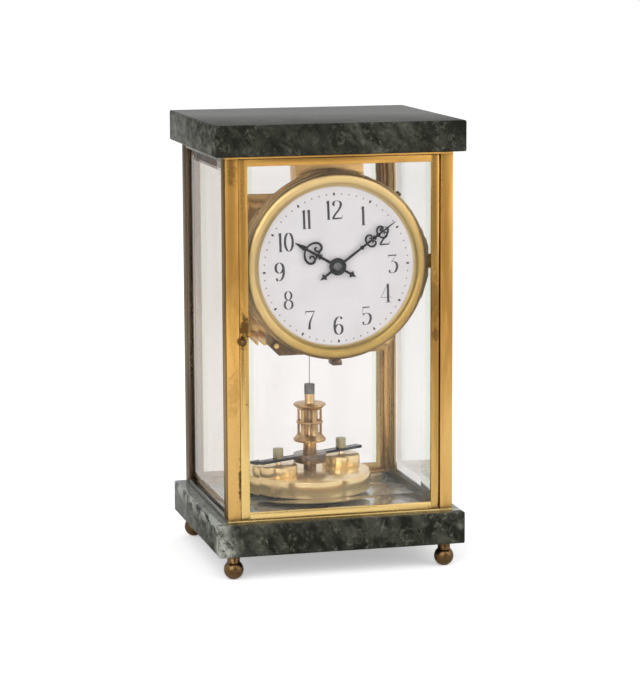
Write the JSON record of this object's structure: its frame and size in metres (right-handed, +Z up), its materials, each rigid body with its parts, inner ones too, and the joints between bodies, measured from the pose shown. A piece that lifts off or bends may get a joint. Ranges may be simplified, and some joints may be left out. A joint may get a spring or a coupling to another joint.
{
  "type": "four-glass clock",
  "caption": "Torsion-pendulum mantel clock in a glazed brass case between marble slabs, with hinged doors, enamel dial, open movement and a slow turning disc pendulum.",
  "frame": {"origin": "on the floor under the middle of the case, level with the bottoms of the ball feet", "axes": "+Z up, -Y towards the dial side, +X to the right seen from the dial side"},
  "size_m": [0.16, 0.143, 0.285],
  "materials": {
    "marble": "polished dark green-black marble with pale veins",
    "frame_brass": "warm polished brass with brown tarnish",
    "foot_brass": "tarnished turned brass",
    "bezel_brass": "polished brass",
    "movement_brass": "lacquered brass",
    "pendulum_brass": "polished brass",
    "crown_brass": "turned and pierced brass",
    "bevelled_glass": "clear bevelled plate glass",
    "enamel": "white enamel fired on copper",
    "black_hands": "blackened steel",
    "black_steel": "dark blued steel",
    "dark_bronze": "darkened brass",
    "steel": "plain steel"
  },
  "bodies": {
    "case": {"base_slab": "marble", "top_slab": "marble", "ball_feet": "foot_brass", "top_studs": "steel", "bottom_rails": "frame_brass", "top_rails": "frame_brass", "post_front_left": "frame_brass", "post_front_right": "frame_brass", "post_rear_left": "frame_brass", "post_rear_right": "frame_brass", "left_glass": "bevelled_glass", "right_glass": "bevelled_glass", "guide_cup": "movement_brass", "carrier": "movement_brass", "dial_screws": "steel", "bezel": "bezel_brass", "dial": "enamel", "top_hanger": "movement_brass", "front_plate": "movement_brass", "back_plate": "movement_brass", "plate_pillars": "movement_brass", "plate_nuts": "steel", "anchor_cock": "movement_brass", "suspension_cock": "movement_brass", "suspension_block": "movement_brass"},
    "front_door": {"front_latch_stile": "frame_brass", "front_hinge_stile": "frame_brass", "front_door_rails": "frame_brass", "front_glass": "bevelled_glass"},
    "front_latch": {"front_latch": "dark_bronze"},
    "rear_door": {"rear_latch_stile": "frame_brass", "rear_hinge_stile": "frame_brass", "rear_door_rails": "frame_brass", "rear_glass": "bevelled_glass"},
    "rear_latch": {"rear_latch": "dark_bronze"},
    "minute_arbor": {"centre_wheel": "movement_brass", "cannon_pinion": "movement_brass", "minute_hand": "black_hands"},
    "hour_arbor": {"hour_wheel": "movement_brass", "hour_hand": "black_hands"},
    "minute_wheel": {"minute_wheel": "movement_brass"},
    "third_arbor": {"third_wheel": "movement_brass"},
    "second_arbor": {"second_wheel": "movement_brass"},
    "spring_barrel": {"barrel": "movement_brass", "barrel_cap": "movement_brass", "mainspring": "steel"},
    "escape_arbor": {"escape_wheel": "movement_brass"},
    "winding_arbor": {"winding_arbor": "steel"},
    "click": {"click": "steel"},
    "anchor": {"anchor": "steel"},
    "fork": {"fork": "movement_brass"},
    "pendulum": {"suspension_wire": "steel", "pendulum_clamp": "steel", "pendulum_crown": "crown_brass", "pendulum_bar": "black_steel", "pendulum_disc": "pendulum_brass", "pendulum_drums": "pendulum_brass"},
    "thumb_nut_left": {"thumb_nut_left": "pendulum_brass"},
    "thumb_nut_right": {"thumb_nut_right": "pendulum_brass"}
  },
  "joints": [
    {"name": "front_door_hinge", "type": "hinge", "parent": "case", "child": "front_door", "pos_m": [0.06275, -0.064, 0.15075], "axis": [0, 0, 1], "range_deg": [0, 95]},
    {"name": "front_latch_turn", "type": "hinge", "parent": "front_door", "child": "front_latch", "pos_m": [-0.063, -0.066, 0.15075], "axis": [0, -1, 0], "range_deg": [0, 90]},
    {"name": "rear_door_hinge", "type": "hinge", "parent": "case", "child": "rear_door", "pos_m": [-0.06275, 0.064, 0.15075], "axis": [0, 0, 1], "range_deg": [0, 95]},
    {"name": "rear_latch_turn", "type": "hinge", "parent": "rear_door", "child": "rear_latch", "pos_m": [0.063, 0.066, 0.15075], "axis": [0, 1, 0], "range_deg": [0, 90]},
    {"name": "minute_turn", "type": "hinge", "parent": "case", "child": "minute_arbor", "pos_m": [0, -0.04, 0.1945], "axis": [0, 1, 0], "continuous": true},
    {"name": "hour_turn", "type": "hinge", "parent": "case", "child": "hour_arbor", "pos_m": [0, -0.048, 0.1945], "axis": [0, 1, 0], "continuous": true},
    {"name": "minute_wheel_turn", "type": "hinge", "parent": "case", "child": "minute_wheel", "pos_m": [0.006, -0.044, 0.18411], "axis": [0, 1, 0], "continuous": true},
    {"name": "third_turn", "type": "hinge", "parent": "case", "child": "third_arbor", "pos_m": [0.01307, -0.018, 0.18818], "axis": [0, 1, 0], "continuous": true},
    {"name": "second_turn", "type": "hinge", "parent": "case", "child": "second_arbor", "pos_m": [0.00551, -0.018, 0.172], "axis": [0, 1, 0], "continuous": true},
    {"name": "barrel_turn", "type": "hinge", "parent": "case", "child": "spring_barrel", "pos_m": [-0.017, -0.024, 0.1615], "axis": [0, 1, 0], "continuous": true},
    {"name": "escape_turn", "type": "hinge", "parent": "case", "child": "escape_arbor", "pos_m": [0, -0.008, 0.20802], "axis": [0, 1, 0], "continuous": true},
    {"name": "winding_turn", "type": "hinge", "parent": "case", "child": "winding_arbor", "pos_m": [-0.017, 0.008, 0.1615], "axis": [0, 1, 0], "continuous": true},
    {"name": "click_lift", "type": "hinge", "parent": "case", "child": "click", "pos_m": [-0.0075, 0.005, 0.1715], "axis": [0, -1, 0], "range_deg": [0, 14], "stiffness_Nm_per_rad": 0.0005},
    {"name": "pendulum_swing", "type": "hinge", "parent": "case", "child": "pendulum", "pos_m": [0, 0.016, 0.152], "axis": [0, 0, 1], "range_deg": [-135, 135], "stiffness_Nm_per_rad": 0.00007},
    {"name": "fork_swing", "type": "hinge", "parent": "case", "child": "fork", "pos_m": [0, 0.016, 0.2405], "axis": [0, 0, 1], "range_deg": [-8, 8]},
    {"name": "anchor_rock", "type": "hinge", "parent": "case", "child": "anchor", "pos_m": [0, -0.008, 0.21952], "axis": [0, 1, 0], "range_deg": [-3, 3]},
    {"name": "thumb_nut_left_turn", "type": "hinge", "parent": "pendulum", "child": "thumb_nut_left", "pos_m": [-0.02427, 0.00416, 0.065], "axis": [0, 0, 1], "continuous": true},
    {"name": "thumb_nut_right_turn", "type": "hinge", "parent": "pendulum", "child": "thumb_nut_right", "pos_m": [0.02427, 0.02784, 0.065], "axis": [0, 0, 1], "continuous": true}
  ],
  "couplings": [
    {"joint": "hour_turn", "follows": "minute_turn", "ratio": 0.083333},
    {"joint": "minute_wheel_turn", "follows": "minute_turn", "ratio": -0.33333},
    {"joint": "third_turn", "follows": "minute_turn", "ratio": -0.1},
    {"joint": "second_turn", "follows": "minute_turn", "ratio": 0.011905},
    {"joint": "barrel_turn", "follows": "minute_turn", "ratio": -0.0014881},
    {"joint": "escape_turn", "follows": "minute_turn", "ratio": -12},
    {"joint": "fork_swing", "follows": "pendulum_swing", "ratio": 0.053495},
    {"joint": "anchor_rock", "follows": "pendulum_swing", "ratio": 0.020515}
  ]
}
